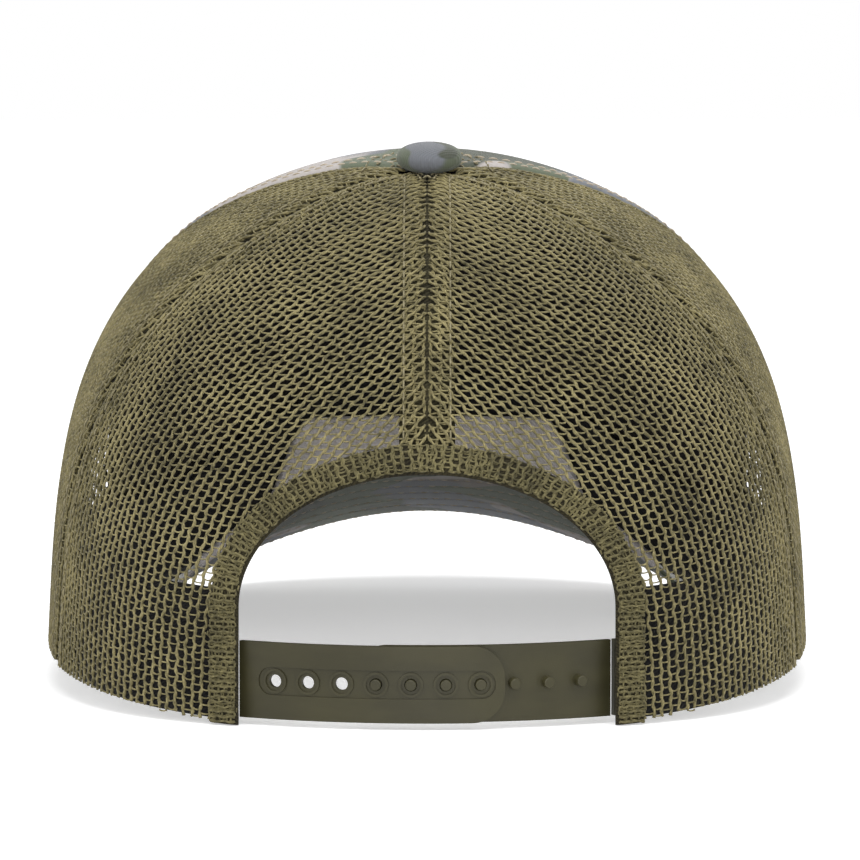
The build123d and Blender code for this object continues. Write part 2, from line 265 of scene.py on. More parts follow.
def tube(points, normals, halfWidth, halfHeight, sides=4, keep=None):
    # an ellipse carried along each line: half axes lie sideways and outwards from the surface
    ahead = unit(np.gradient(points, axis=1))
    sideways = unit(np.cross(normals, ahead))
    outward = np.cross(ahead, sideways)
    angle = (np.arange(sides) + 0.5) / sides * 2 * math.pi
    wide = np.broadcast_to(halfWidth, points.shape[:2])[..., None, None] * np.cos(angle)[:, None]
    high = np.broadcast_to(halfHeight, points.shape[:2])[..., None, None] * np.sin(angle)[:, None]
    rings = points[:, :, None] + wide * sideways[:, :, None] + high * outward[:, :, None]
    steps = np.linalg.norm(np.diff(points, axis=1, prepend=points[:, :1]), axis=-1)
    run = np.cumsum(steps, axis=1)
    uv = np.stack(np.broadcast_arrays(run[..., None], angle / 6.3), axis=-1)
    return ringTube(rings, uv, keep)


def slab(outer, inner, flat):
    # a closed sheet between two grids of points, with walls round its four edges
    across, up = outer.shape[:2]
    index = np.arange(across * up).reshape(across, up)
    grid = np.stack([index[:-1, :-1], index[1:, :-1], index[1:, 1:], index[:-1, 1:]], axis=-1).reshape(-1, 4)
    border = np.concatenate([index[:, 0], index[-1, 1:], index[-2::-1, -1], index[0, -2:0:-1]])
    after = np.roll(border, -1)
    count = across * up
    walls = np.stack([border, border + count, after + count, after], axis=-1)
    points = np.concatenate([outer.reshape(-1, 3), inner.reshape(-1, 3)])
    quads = np.concatenate([grid, grid[:, ::-1] + count, walls])
    return points, quads, np.concatenate([flat.reshape(-1, 2)] * 2)


def edgeRound(distance, radius):
    # a quarter circle: 0 at the edge and 1 from a radius inwards
    share = np.clip(distance / radius, 0, 1)
    return np.sqrt(np.maximum(1 - (1 - share) ** 2, 0))


def patchGrid(start, end, low, high, across, up):
    # turns and lifts of a patch between two side lines and two height lines
    share, climb = np.meshgrid(np.linspace(0, 1, across), np.linspace(0, 1, up), indexing="ij")
    lift = climb
    for _ in range(6):
        turn = start(lift) + (end(lift) - start(lift)) * share
        lift = low(turn) + (high(turn) - low(turn)) * climb
    return turn, lift


def clothPatch(start, end, low, high, top, bottom, across, up, relief=None, rounding=0.6, swell=0.0):
    # cloth laid on the crown between two depths, its edges rounded over, swollen by a product of sines
    turn, lift = patchGrid(start, end, low, high, across, up)
    up2, across2 = np.meshgrid(np.linspace(0, 1, up), np.linspace(0, 1, across))
    sideways = turn * crown["planScale"] * spreadAndRise(turn, lift)[0]
    flat = np.stack([sideways, lengthAt(turn, lift)], axis=-1)
    middle = (top + bottom) / 2 + (relief(turn, lift) if relief else 0)
    wide = np.linalg.norm(crownPoint(turn, lift)[-1] - crownPoint(turn, lift)[0], axis=-1)[None, :]
    tall = (flat[:, -1, 1] - flat[:, 0, 1])[:, None]
    edge = np.minimum(np.minimum(across2, 1 - across2) * wide, np.minimum(up2, 1 - up2) * tall)
    half = (bottom - top) / 2 * (0.3 + 0.7 * edgeRound(edge, rounding))
    puff = swell * np.sqrt(np.sin(math.pi * up2) * np.sin(math.pi * across2) ** 0.5 + 1e-9)
    return slab(crownAt(turn, lift, middle - half), crownAt(turn, lift, middle + half + puff), flat)


def surfaceArea(part):
    # half of a closed sheet's surface
    p, q = part[0], part[1]
    crosses = np.cross(p[q[:, 2]] - p[q[:, 0]], p[q[:, 3]] - p[q[:, 1]])
    return float(np.linalg.norm(crosses, axis=-1).sum() / 4)


def rimLine(turn):
    return 0 * turn


def buttonLine(turn):
    return liftNearApex(turn, crown["buttonHole"])


def tapeLine(turn):
    return liftNearApex(turn, crown["tapeStop"])


def lengthLine(length):
    return lambda turn: liftAt(turn, length(turn) if callable(length) else length + 0 * turn)


def fixedTurn(turn):
    return lambda lift: turn + 0 * lift


def startMaterial(name, roughness, sheen=0.0, sheenRoughness=0.5):
    material = bpy.data.materials.new(name)
    material.use_nodes = True
    tree = material.node_tree
    shader = tree.nodes["Principled BSDF"]
    shader.inputs["Roughness"].default_value = roughness
    shader.inputs["Sheen Weight"].default_value = sheen
    shader.inputs["Sheen Roughness"].default_value = sheenRoughness
    return material, tree, shader


def addNode(tree, kind, inputs=None, **settings):
    made = tree.nodes.new(kind)
    for key, value in settings.items():
        setattr(made, key, value)
    for key, value in (inputs or {}).items():
        if isinstance(value, bpy.types.NodeSocket):
            tree.links.new(value, made.inputs[key])
        else:
            made.inputs[key].default_value = value
    return made


def noise(tree, vector, scale, detail=2.0, roughness=0.5, distortion=0.0):
    inputs = {
        "Vector": vector, "Scale": scale, "Detail": detail, "Roughness": roughness, "Distortion": distortion,
    }
    return addNode(tree, "ShaderNodeTexNoise", inputs).outputs["Fac"]


def ramp(tree, factor, stops):
    # stops are (place, linear colour)
    made = addNode(tree, "ShaderNodeValToRGB", {"Fac": factor})
    elements = made.color_ramp.elements
    while len(elements) < len(stops):
        elements.new(0.5)
    for element, (place, colour) in zip(elements, stops):
        element.position = place
        element.color = (*colour, 1)
    return made.outputs["Color"]


def mixed(tree, factor, first, second, blend="MIX"):
    made = addNode(tree, "ShaderNodeMix", data_type="RGBA", blend_type=blend)
    for socket, value in zip((made.inputs[0], made.inputs[6], made.inputs[7]), (factor, first, second)):
        if isinstance(value, bpy.types.NodeSocket):
            tree.links.new(value, socket)
        else:
            socket.default_value = (*value, 1) if hasattr(value, "__len__") else value
    return made.outputs[2]


def calc(tree, operation, first, second=0.0):
    made = addNode(tree, "ShaderNodeMath", operation=operation)
    for socket, value in zip(made.inputs, (first, second)):
        if isinstance(value, bpy.types.NodeSocket):
            tree.links.new(value, socket)
        else:
            socket.default_value = value
    return made.outputs[0]


def bump(tree, shader, height, distance, strength=1.0):
    made = addNode(tree, "ShaderNodeBump", {"Height": height, "Distance": distance, "Strength": strength})
    tree.links.new(made.outputs["Normal"], shader.inputs["Normal"])


def objectPlace(tree, offset=(0, 0, 0), stretch=(1, 1, 1)):
    place = addNode(tree, "ShaderNodeTexCoord").outputs["Object"]
    mapping = addNode(tree, "ShaderNodeMapping", {"Vector": place, "Location": offset, "Scale": stretch})
    return mapping.outputs["Vector"]


def clothPlace(tree, turn=0.0):
    # the piece's own flat cloth coordinates, in mm
    place = addNode(tree, "ShaderNodeUVMap", uv_map="cloth").outputs["UV"]
    return addNode(tree, "ShaderNodeMapping", {"Vector": place, "Rotation": (0, 0, turn)}).outputs["Vector"]


def wave(tree, vector, pitch, direction="X", distortion=0.0):
    inputs = {"Vector": vector, "Scale": 2 * math.pi / 20 / pitch, "Distortion": distortion}
    return addNode(tree, "ShaderNodeTexWave", inputs, bands_direction=direction).outputs["Fac"]


def knitThread(name, dark, light):
    # filament yarn: darker in patches, fine fibres along the strand
    material, tree, shader = startMaterial(name, 0.6, 0.06)
    shader.inputs["Specular IOR Level"].default_value = 0.28
    patches = noise(tree, objectPlace(tree), 60, 3)
    fine = noise(tree, objectPlace(tree), 900, 2)
    tone = calc(tree, "ADD", calc(tree, "MULTIPLY", patches, 0.4), calc(tree, "MULTIPLY", fine, 0.6))
    tree.links.new(ramp(tree, tone, [(0.32, dark), (0.68, light)]), shader.inputs["Base Color"])
    bump(tree, shader, noise(tree, objectPlace(tree), 4200, 1), 0.00012, 0.7)
    return material


def twillHeight(tree, pitch):
    # diagonal ribs of a twill, broken up by the yarns that cross them
    ribs = wave(tree, clothPlace(tree, math.radians(52)), pitch)
    yarns = wave(tree, clothPlace(tree, math.radians(-8)), pitch * 0.7)
    return calc(tree, "ADD", ribs, calc(tree, "MULTIPLY", yarns, 0.35))


def camoTwill(name, grow=1.0, shade=1.0):
    # printed twill: soft-edged blobs of beige, slate and green over a pale ground, the whole print
    # multiplied darker by shade
    material, tree, shader = startMaterial(name, 0.8, 0.2)
    ground = noise(tree, objectPlace(tree), 45, 2)
    colour = ramp(tree, ground, [(0.3, (0.56, 0.51, 0.485)), (0.7, (0.68, 0.63, 0.61))])
    blobs = [
        ((0.31, 0.7, 0.2), 21, 0.55, (0.30, 0.255, 0.22)),
        ((1.7, 0.2, 0.9), 26, 0.52, (0.2, 0.215, 0.245)),
        ((2.3, 1.4, 0.4), 24, 0.53, (0.12, 0.15, 0.088)),
        ((3.9, 2.1, 1.3), 29, 0.58, (0.05, 0.063, 0.036)),
    ]
    for offset, scale, level, tint in blobs:
        field = noise(tree, objectPlace(tree, offset, (1, 1, 1.5)), scale * grow, 1.0, 0.35, 0.5)
        shape = ramp(tree, field, [(level - 0.012, (0, 0, 0)), (level + 0.012, (1, 1, 1))])
        colour = mixed(tree, shape, colour, tint)
    # the print multiplied down by shade: painted shade on the visor's underside (0.72); the button's print
    # is darkened to 0.7
    colour = mixed(tree, 1.0, colour, (shade, shade, shade), "MULTIPLY")
    height = twillHeight(tree, 0.62)
    fleck = noise(tree, objectPlace(tree), 1400, 2)
    colour = mixed(tree, calc(tree, "MULTIPLY", fleck, 0.3), colour, (0.12, 0.115, 0.1))
    tree.links.new(colour, shader.inputs["Base Color"])
    bump(tree, shader, height, 0.00012, 0.6)
    return material


def wovenCloth(name, dark, light, pitch, roughness=0.88, sheen=0.04, depth=0.0001):
    # plain or ribbed cloth: crossing yarns in the cloth's own coordinates
    material, tree, shader = startMaterial(name, roughness, sheen)
    shader.inputs["Specular IOR Level"].default_value = 0.2
    height = twillHeight(tree, pitch)
    # the colour follows the weave's height, darker in the low yarns: painted shade in the weave's grooves
    tone = calc(tree, "ADD", calc(tree, "MULTIPLY", height, 0.35), noise(tree, objectPlace(tree), 120, 3))
    tree.links.new(ramp(tree, tone, [(0.45, dark), (0.95, light)]), shader.inputs["Base Color"])
    bump(tree, shader, height, depth, 0.8)
    return material


def mouldedPlastic(name, colour, roughness):
    # satin moulding: fine grain, faint flow marks and slightly polished high spots
    material, tree, shader = startMaterial(name, roughness)
    shader.inputs["Specular IOR Level"].default_value = 0.35
    tone = noise(tree, objectPlace(tree, (0, 0, 0), (1, 1, 3)), 55, 3)
    dark, light = tuple(c * 0.86 for c in colour), tuple(min(c * 1.14, 1) for c in colour)
    tree.links.new(ramp(tree, tone, [(0.35, dark), (0.65, light)]), shader.inputs["Base Color"])
    worn = calc(tree, "MULTIPLY", noise(tree, objectPlace(tree), 180, 2), 0.16)
    gloss = calc(tree, "ADD", worn, roughness - 0.08)
    tree.links.new(gloss, shader.inputs["Roughness"])
    bump(tree, shader, noise(tree, objectPlace(tree), 2600, 2), 0.00004, 0.5)
    return material


def pressedMetal(name, colour):
    # pressed sheet: brushed rings round the button's axis
    material, tree, shader = startMaterial(name, 0.35)
    shader.inputs["Metallic"].default_value = 1.0
    tone = noise(tree, objectPlace(tree, (0, 0, 0), (1, 1, 8)), 500, 3)
    # the colour follows the rings' height, darker in their grooves: painted shade
    dark, light = tuple(c * 0.75 for c in colour), colour
    tree.links.new(ramp(tree, tone, [(0.3, dark), (0.7, light)]), shader.inputs["Base Color"])
    bump(tree, shader, tone, 0.00004, 0.5)
    return material


meshYarn = knitThread("meshYarn", (0.058, 0.05, 0.018), (0.35, 0.30, 0.14))
# the mesh yarn made darker for the hem: painted shade
hemYarnShaded = knitThread("hemYarnShaded", (0.042, 0.036, 0.013), (0.225, 0.195, 0.086))
seamThread = knitThread("seamThread", (0.15, 0.13, 0.07), (0.34, 0.3, 0.18))
tanThread = knitThread("tanThread", (0.42, 0.35, 0.26), (0.62, 0.54, 0.43))
camoCloth = camoTwill("camoCloth")
buckramCloth = wovenCloth("buckramCloth", (0.008, 0.007, 0.006), (0.03, 0.026, 0.022), 1.1)
oliveTape = wovenCloth("oliveTape", (0.014, 0.012, 0.006), (0.05, 0.044, 0.021), 0.8)
hemBacking = wovenCloth("hemBacking", (0.012, 0.010, 0.005), (0.04, 0.034, 0.016), 0.7)
bandCloth = wovenCloth("bandCloth", (0.006, 0.006, 0.006), (0.022, 0.021, 0.02), 0.9)
# a light grey pad, its colour raised towards white as painted light
padClothPaintedLight = wovenCloth("padClothPaintedLight", (0.66, 0.61, 0.6), (0.82, 0.77, 0.76), 0.9)
strapPlastic = mouldedPlastic("strapPlastic", (0.041, 0.037, 0.015), 0.44)
boardPlastic = mouldedPlastic("boardPlastic", (0.72, 0.71, 0.68), 0.5)
buttonMetal = pressedMetal("buttonMetal", (0.1, 0.098, 0.09))
camoButton = camoTwill("camoButton", 2.2, 0.7)
# the visor's underside: the same print multiplied down to 0.72 as painted shade
camoUnderPaintedShade = camoTwill("camoUnderPaintedShade", 1.25, 0.72)
print("materials made")


knit = {
    "walePitch": 1.94, "coursePitch": 1.78, "depth": 0.42, "zigzag": 0.19, "twist": 0.17,
    "twistDepth": 0.13, "waleWidth": 0.27, "waleHeight": 0.255, "courseWidth": 0.205, "courseHeight": 0.2,
    "sag": 0.30, "sagSpread": 0.14, "jitter": 0.085, "stations": 4, "seed": 11,
}


def knitPart(place, width, height, keep, seed, tight=1.0, perCourse=3):
    # wales: pairs of strands that twist round each other, u = wale + zigzag + twist * cos(pi v / pitch)
    # courses: thin loops from wale to wale, v = course - sag * sin(pi t), each second gap half a pitch up
    draw = np.random.default_rng(knit["seed"] + seed)
    wp, cp = knit["walePitch"] * tight, knit["coursePitch"] * tight
    wales = int(width / wp) + 1
    courses = int(height / cp) + 1
    waleU = (np.arange(wales) - (wales - 1) / 2) * wp
    v = np.arange(courses * perCourse + 1) * cp / perCourse
    sideStep = np.where(np.arange(wales) % 2 == 0, 1.0, -1.0)[:, None]
    drift = draw.normal(0, knit["jitter"], (wales, courses + 1))
    drift = np.stack([np.interp(v, np.arange(courses + 1) * cp, row) for row in drift])
    phase = math.pi * v[None, :] / cp
    centre = waleU[:, None] + drift + knit["zigzag"] * sideStep * np.cos(phase)
    parts = []
    for strand in (1, -1):
        u = centre + strand * knit["twist"] * tight * np.cos(phase + waleU[:, None])
        depth = knit["depth"] + strand * knit["twistDepth"] * np.sin(phase + waleU[:, None])
        points, normals, inside = place(u, v[None, :] + 0 * u, depth, keep)
        parts.append(tube(points, normals, knit["waleWidth"], knit["waleHeight"], 4, inside))
    share = np.linspace(0, 1, knit["stations"])
    gaps, rows = np.meshgrid(np.arange(wales - 1), np.arange(-1, courses), indexing="ij")
    started = rows + 0.5 * (gaps % 2) > -0.9
    gaps, rows = gaps[started], rows[started]
    level = (rows + 0.5 * (gaps % 2)) * cp + draw.normal(0, knit["jitter"], len(gaps))
    sag = knit["sag"] + draw.normal(0, knit["sagSpread"], len(gaps))
    tilt = draw.normal(0, 0.12, len(gaps))
    courseV = level[:, None] - sag[:, None] * np.sin(math.pi * share) + tilt[:, None] * (share - 0.5)
    column = np.clip(courseV / cp * perCourse, 0, len(v) - 1.001)
    near, part = column.astype(int), column % 1
    first = centre[gaps[:, None], near] * (1 - part) + centre[gaps[:, None], near + 1] * part
    second = centre[gaps[:, None] + 1, near] * (1 - part) + centre[gaps[:, None] + 1, near + 1] * part
    courseU = first + (second - first) * share
    depth = knit["depth"] + 0.1 * np.cos(2 * math.pi * share) + draw.normal(0, 0.05, len(gaps))[:, None]
    points, normals, inside = place(courseU, courseV, depth, keep)
    inside = inside & inside.all(axis=1)[:, None]
    parts.append(tube(points, normals, knit["courseWidth"], knit["courseHeight"], 4, inside))
    return joined(parts)


arch = {
    "halfWidth": 41.6, "straight": 26.0, "top": 55.0, "leg": 0.19, "length": 190.0,
    "hem": 6.2, "proud": 0.35, "thick": 1.75, "sink": 0.25,
}


grain = {
    "start": 10.0, "ease": 60.0, "rim": 0.35, "middle": 55.0, "allowance": 5.6, "under": 0.42,
    "leastShare": 0.31,
}


def inArch(points, grow):
    # inside the rear opening's outline, grown outwards: a rectangle under half an ellipse
    x, y, z = points[..., 0], points[..., 1], points[..., 2]
    wide, tall = arch["halfWidth"] + grow, arch["top"] - arch["straight"] + grow
    legs = (np.abs(x) < wide) & (z < arch["straight"])
    head = (z >= arch["straight"]) & ((x / wide) ** 2 + ((z - arch["straight"]) / tall) ** 2 < 1)
    return (y < 0) & (legs | head)


def grainLean(v, lean):
    # wales stand upright at the rim and lean over above it: the integral of lean * smoothstep((v - 10) / 60)
    share = np.clip((v - grain["start"]) / grain["ease"], 0, 1)
    above = np.maximum(v - grain["start"] - grain["ease"], 0)
    return lean * (grain["ease"] * (share ** 3 - share ** 4 / 2) + above)


def gorePlace(centre, relief, lean=0.0):
    # from flat cloth on a gore's own centre line to the crown; the lowest course runs along the rim
    def place(u, v, depth, keep):
        v = np.maximum(v, grain["rim"])
        u = u + grain["middle"] * lean - grainLean(v, lean)
        turn = centre + u / crown["planScale"]
        for _ in range(7):
            lift = liftAt(turn, v)
            spread = np.maximum(spreadAndRise(turn, lift)[0], 0.02)
            turn = np.clip(centre + u / (crown["planScale"] * spread), centre - 1.0, centre + 1.0)
        points = crownAt(turn, lift, depth + relief(turn, lift))
        return points, crownNormal(turn, lift), keep(turn, lift, points)
    return place


def goreKeep(startSeam, endSeam, margin):
    def keep(turn, lift, points):
        inside = seamDistance(startSeam, turn, lift) > margin
        inside &= seamDistance(endSeam, turn, lift) < -margin
        inside &= (lift < buttonLine(turn)) & (lift > 0.0005)
        return inside & ~inArch(points, arch["hem"] - 1.2)
    return keep


def allowanceKeep(startSeam, endSeam):
    # only the cloth turned in beside the two seams
    whole = goreKeep(startSeam, endSeam, 0.3)

    def keep(turn, lift, points):
        near = seamDistance(startSeam, turn, lift) < grain["allowance"]
        near |= seamDistance(endSeam, turn, lift) > -grain["allowance"]
        return whole(turn, lift, points) & near
    return keep


def goreRelief(*seams):
    return lambda turn, lift: sum(seamRelief(seamDistance(name, turn, lift)) for name in seams)


def flatArea(start, end, low, high, across=30, up=40):
    turn, lift = patchGrid(start, end, low, high, across, up)
    points = crownPoint(turn, lift)
    crosses = np.cross(points[1:, 1:] - points[:-1, :-1], points[:-1, 1:] - points[1:, :-1])
    outside = ~inArch(points[:-1, :-1], arch["hem"])
    return float((np.linalg.norm(crosses, axis=-1) / 2 * outside).sum())


gores = {
    "rearMesh": {
        "seams": ("rearCentre", "rearSide"), "centre": math.radians(31.5), "width": 100.0, "seed": 1,
        "lean": 0.36, "perCourse": 3, "nodes": ("rear_mesh_right", "rear_mesh_left"),
    },
    "sideMesh": {
        "seams": ("rearSide", "frontSide"), "centre": math.radians(91.0), "width": 104.0, "seed": 2,
        "lean": 0.12, "perCourse": 2, "nodes": ("side_mesh_right", "side_mesh_left"),
    },
}
for label, gore in gores.items():
    startSeam, endSeam = gore["seams"]
    relief = goreRelief(startSeam, endSeam)
    place = gorePlace(gore["centre"], relief, gore["lean"])
    under = gorePlace(gore["centre"], lambda turn, lift: relief(turn, lift) + grain["under"], -gore["lean"])
    wide = gore["width"] + 2 * grain["middle"] * gore["lean"]
    inside, turnedIn = goreKeep(startSeam, endSeam, 0.1), allowanceKeep(startSeam, endSeam)
    part = joined([
        knitPart(place, wide, longest, inside, gore["seed"], 1.0, gore["perCourse"]),
        knitPart(under, wide, longest, turnedIn, gore["seed"] + 20, 1.0, 2),
    ])
    cut = flatArea(beside(startSeam, 0), beside(endSeam, 0), rimLine, buttonLine)
    cloth = max(cut, grain["leastShare"] * gore["width"] * longest)
    for side, node, shape in zip(("Right", "Left"), gore["nodes"], (part, mirrored(part))):
        piece = addPiece(label + side, shape[0], shape[1], meshYarn, "cap", "knit_mesh", (node,), shape[2])
    print(label, "knitted with", len(part[1]) * 2, "triangles each")


def archLine(share, offset):
    # up one side, over half an ellipse and down the other, at an offset outside the opening
    wide = arch["halfWidth"] + offset
    tall = arch["top"] - arch["straight"] + offset
    leg = arch["leg"]
    swing = np.clip((share - leg) / (1 - 2 * leg), 0, 1) * math.pi
    climb = np.minimum(share, 1 - share) / leg
    x = np.where(swing <= 0, -wide, np.where(swing >= math.pi, wide, -wide * np.cos(swing)))
    z = np.where(climb < 1, arch["straight"] * climb, arch["straight"] + tall * np.sin(swing))
    return x, z


def backTurnLift(x, z):
    # the turn and lift of the crown's back at a given x and height, by bisection on the turn
    low, high = np.full_like(x, -1.4), np.full_like(x, 1.4)
    for _ in range(34):
        turn = (low + high) / 2
        rim = rimHeight(turn)
        rise = np.clip((z - rim) / (crown["apexZ"] - rim), 1e-6, 1)
        lift = np.arcsin(rise ** (around(turn, crown["sidePower"]) / 2)) * 2 / math.pi
        past = crownPoint(turn, lift)[..., 0] > x
        high, low = np.where(past, turn, high), np.where(past, low, turn)
    return turn, lift


def hemRings(stations, sides):
    # a rounded strip section, 4th-power superellipse, carried along the opening
    share = np.linspace(0, 1, stations)[:, None]
    angle = -np.arange(sides) / sides * 2 * math.pi
    offset = arch["hem"] / 2 * (1 + np.sign(np.cos(angle)) * np.abs(np.cos(angle)) ** 0.5)
    depth = arch["thick"] / 2 * (1 + np.sign(np.sin(angle)) * np.abs(np.sin(angle)) ** 0.5)
    depth = depth - arch["proud"] + arch["sink"]
    x, z = archLine(share, offset[None, :])
    turn, lift = backTurnLift(x, z)
    uv = np.stack(np.broadcast_arrays(share * arch["length"], offset[None, :]), axis=-1)
    return crownAt(turn, lift, depth[None, :] + 0 * turn)[None], uv[None]


def hemPlace(u, v, depth, keep):
    share = u / arch["length"] + 0.5
    x, z = archLine(np.clip(share, 0, 1), v)
    turn, lift = backTurnLift(x, z)
    points = crownAt(turn, lift, depth)
    normals = crownNormal(turn, lift)
    return points, normals, (share > 0.001) & (share < 0.999) & (v > 0) & (v < arch["hem"] + 0.2)


hemBody = ringTube(*hemRings(161, 16))
# two layers of loops: how proud, how tight, and the seed of each
hemLayers = [(0.62, 0.78, 5), (0.4, 0.92, 6)]


def hemLayer(proud, tight, seed):
    def place(u, v, depth, keep):
        return hemPlace(u, v, depth - proud, keep)
    return knitPart(place, arch["length"] - 1, arch["hem"], None, seed, tight)


hemKnit = joined([hemLayer(*terms) for terms in hemLayers])
hem = addPiece("archHem", hemBody[0], hemBody[1], hemBacking, "cap", "knit_mesh", ("arch_hem",), hemBody[2])
hemCover = addPiece("archHemKnit", hemKnit[0], hemKnit[1], hemYarnShaded, "cap", "knit_mesh", (), hemKnit[2])
print("hem made")


panel = {"flat": (118, 150), "front": (0.0, 0.9), "lining": (1.15, 2.15)}
frontRelief = goreRelief("frontSide", "frontCentre")
panelSpan = (beside("frontSide", 0.15), beside("frontCentre", -0.15))
frontPart = clothPatch(*panelSpan, rimLine, buttonLine, *panel["front"], 64, 72, frontRelief)
liningPart = clothPatch(*panelSpan, rimLine, buttonLine, *panel["lining"], 48, 56, frontRelief)
for part, label, material, slotName, node in (
        (frontPart, "frontPanel", camoCloth, "camo_fabric", "front_panel"),
        (liningPart, "buckram", buckramCloth, "buckram", "buckram")):
    for side, shape in (("Right", part), ("Left", mirrored(part))):
        piece = addPiece(label + side, shape[0], shape[1], material, "cap", slotName,
                         (node + "_" + side.lower(),), shape[2])
        surfaceArea(shape)


def tapePart(name, top):
    start, end = beside(name, -5.5), beside(name, 5.5)

    def dip(turn, lift):
        return 0.25 * np.exp(-(seamDistance(name, turn, lift) / 1.2) ** 2)
    return clothPatch(start, end, lengthLine(0.6), tapeLine, top, top + 0.55, 13, 90, dip, 0.4)


tapes = {
    "rearSideTape": ("rearSide", 1.25, ("rear_side_tape_right", "rear_side_tape_left")),
    "frontSideTape": ("frontSide", 2.45, ("front_side_tape_right", "front_side_tape_left")),
}
for label, (seam, top, nodes) in tapes.items():
    part = tapePart(seam, top)
    for side, node, shape in zip(("Right", "Left"), nodes, (part, mirrored(part))):
        piece = addPiece(label + side, shape[0], shape[1], oliveTape, "cap", "seam_tape", (node,), shape[2])
        surfaceArea(shape)
part = tapePart("frontCentre", 2.45)
piece = addPiece("frontCentreTape", part[0], part[1], oliveTape, "cap", "seam_tape",
                 ("front_centre_tape",), part[2])
surfaceArea(part)
archTopLift = backTurnLift(np.array([0.0]), np.array([arch["top"] + 3.2]))[1]
archTopLength = float(lengthAt(np.array(0.0), archTopLift)[0])
start, end = beside("rearCentre", -5.5), beside("rearCentre", 5.5)
part = clothPatch(start, end, lengthLine(archTopLength), tapeLine, 1.25, 1.8, 13, 60, None, 0.4)
piece = addPiece("rearCentreTape", part[0], part[1], oliveTape, "cap", "seam_tape",
                 ("rear_centre_tape",), part[2])
surfaceArea(part)
print("panels, linings and tapes made")


band = {
    "depth": 4.2, "half": 0.8, "height": 30.0, "frontDrop": 6.0,
    "foot": 0.8, "flare": 1.9, "flareHeight": 2.2,
    "endTurn": 26.6, "easeTurn": 39.0, "flatTurn": 31.0, "endRise": 1.5,
}
pad = {
    "halfTurn": 38.5, "low": 1.0, "tail": 4.0, "topZ": 49.5, "flatX": 31.0, "fallX": 12.0,
    "top": 5.2, "bottom": 7.2, "swell": 0.35,
}


def bandHeight(turn):
    return band["height"] - band["frontDrop"] * (1 - np.cos(turn)) / 2


def bandRelief(turn, lift):
    # the foot curls outwards to the rim, the cloth waves slightly between its stitches, and both ends rise
    # outwards by a smoothstep, to pass between the hem and the strap's sewn tabs
    up = lengthAt(turn, lift)
    fromRear = np.degrees(np.minimum(turn, 2 * math.pi - turn))
    share = np.clip((band["easeTurn"] - fromRear) / (band["easeTurn"] - band["flatTurn"]), 0, 1)
    ended = share ** 2 * (3 - 2 * share)
    wavy = 0.12 * np.sin(turn * 40) * np.sin(np.clip(up / 30, 0, 1) * math.pi)
    flare = band["flare"] * np.exp(-(up / band["flareHeight"]) ** 2) * (1 - 0.95 * ended)
    return wavy - flare - band["endRise"] * ended


bandEnds = (fixedTurn(math.radians(band["endTurn"])), fixedTurn(math.radians(360 - band["endTurn"])))
part = clothPatch(*bandEnds, lengthLine(band["foot"]), lengthLine(bandHeight), band["depth"] - band["half"],
                  band["depth"] + band["half"], 280, 36, bandRelief, 1.2)
piece = addPiece("sweatband", part[0], part[1], bandCloth, "cap", "sweatband_cloth", ("sweatband",), part[2])
surfaceArea(part)


def padHeight(turn):
    # a flat top in the middle that falls by a smoothstep to a narrow tail along the rim
    share = np.clip((np.abs(rimPlan(turn)[0]) - pad["flatX"]) / pad["fallX"], 0, 1)
    fallen = share ** 2 * (3 - 2 * share)
    return pad["tail"] + (pad["topZ"] - rimHeight(turn) - pad["tail"]) * (1 - fallen)


padReach = math.radians(pad["halfTurn"])
padEnds = (fixedTurn(math.pi - padReach), fixedTurn(math.pi + padReach))
padEdges = (lengthLine(pad["low"]), lengthLine(padHeight))
part = clothPatch(*padEnds, *padEdges, pad["top"], pad["bottom"], 120, 22, None, 1.6, pad["swell"])
piece = addPiece("foreheadPad", part[0], part[1], padClothPaintedLight, "cap", "pad_cloth", ("forehead_pad",), part[2])
print("sweatband and pad made")


def visorPlan(across, forward):
    # root on the crown's rim, edge on half ellipses: x = w sin, y = wideY + reach cos; straight between
    rootX, rootY = rimPlan(math.pi - np.radians(visor["rootTurn"]) * across)
    swing = np.radians(visor["sideTurn"]) * across
    reach = np.where(np.cos(swing) > 0, visor["frontY"] - visor["wideY"], visor["sideReach"])
    edgeX, edgeY = visor["halfWidth"] * np.sin(swing), visor["wideY"] + reach * np.cos(swing)
    rootX, rootY = rootX * visor["rootGrow"], rootY * visor["rootGrow"]
    x, y = rootX + (edgeX - rootX) * forward, rootY + (edgeY - rootY) * forward
    return x, y, np.hypot(edgeX - rootX, edgeY - rootY)


def visorNormal(x, y):
    step = 0.05
    here = softMaxFloor(x, y)
    slopeX, slopeY = (here - softMaxFloor(x + step, y)) / step, (here - softMaxFloor(x, y + step)) / step
    return unit(np.stack([slopeX, slopeY, np.ones_like(x)], axis=-1))


def softMaxFloor(x, y):
    return softMax(visorHeight(x, y), visor["floor"])


def visorAt(across, forward, offset):
    x, y, _ = visorPlan(across, forward)
    points = np.stack([x, y, softMaxFloor(x, y)], axis=-1)
    return points + visorNormal(x, y) * np.asarray(offset)[..., None]


stitchRows = [visor["edgeRow"] + visor["rowPitch"] * i for i in range(visor["rows"] + 1)]


